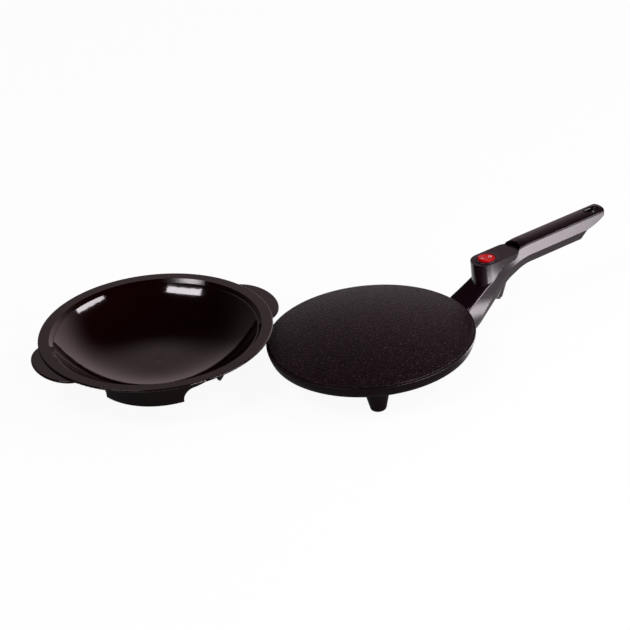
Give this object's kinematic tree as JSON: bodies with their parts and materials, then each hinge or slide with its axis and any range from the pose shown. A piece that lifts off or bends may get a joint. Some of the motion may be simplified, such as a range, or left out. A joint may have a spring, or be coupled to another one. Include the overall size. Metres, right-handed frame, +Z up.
{
  "type": "electric crepe maker",
  "caption": "Hand-held dip-style electric crepe maker with a domed round plate, S-shaped handle with a rocker switch and hanging eye, and a separate shallow batter dish with ears.",
  "frame": {"origin": "under the middle of the box round the pan and its dish, on the table they stand on", "axes": "+X along the handle, away from the plate; +Z up; +Y towards the dish's side"},
  "size_m": [0.5728, 0.3578, 0.0722],
  "materials": {
    "housing_black": "satin",
    "dish_gloss": "gloss",
    "nonstick_plate": "satin",
    "gland_rubber": "matte",
    "terminal_metal": "satin",
    "clip_steel": "satin",
    "screw_steel": "satin",
    "handle_satin": "satin",
    "handle_gloss": "gloss",
    "shield_steel": "satin",
    "element_steel": "satin",
    "lead_white": "satin",
    "lead_brown": "satin",
    "lead_blue": "satin",
    "lamp_glass": "gloss",
    "gasket": "matte",
    "pad_rubber": "matte",
    "bezel_black": "gloss",
    "switch_black": "satin",
    "rocker_red": "gloss",
    "block_white": "matte",
    "fuse_body": "satin",
    "thermostat_body": "satin"
  },
  "bodies": {
    "pan": {"base_housing": "housing_black", "cooking_plate": "nonstick_plate", "cord_gland": "gland_rubber", "element_pins": "terminal_metal", "fuse_clip": "clip_steel", "fuse_screw": "screw_steel", "handle_lower_shell": "handle_satin", "handle_screws": "screw_steel", "handle_upper_shell": "handle_gloss", "heat_shield": "shield_steel", "heating_element": "element_steel", "jumper_lead": "lead_white", "live_lead": "lead_brown", "neutral_lead": "lead_blue", "pilot_lamp": "lamp_glass", "plate_gasket": "gasket", "plate_screws": "screw_steel", "rear_foot_pad": "pad_rubber", "root_screws": "screw_steel", "switch_bezel": "bezel_black", "switch_body": "switch_black", "switch_terminals": "terminal_metal", "terminal_block": "block_white", "thermal_fuse": "fuse_body", "thermostat": "thermostat_body", "thermostat_screws": "screw_steel"},
    "rocker": {"switch_rocker": "rocker_red"},
    "dish": {"batter_dish": "dish_gloss"}
  },
  "joints": [
    {"name": "rocker_tilt", "type": "hinge", "parent": "pan", "child": "rocker", "pos_m": [0.14343, -0.07655, 0.066], "axis": [0, -1, 0], "range_deg": [0, 16]},
    {"name": "dish_lift", "type": "slide", "parent": "pan", "child": "dish", "axis": [0, 0, 1], "range_m": [0, 0.15]}
  ]
}
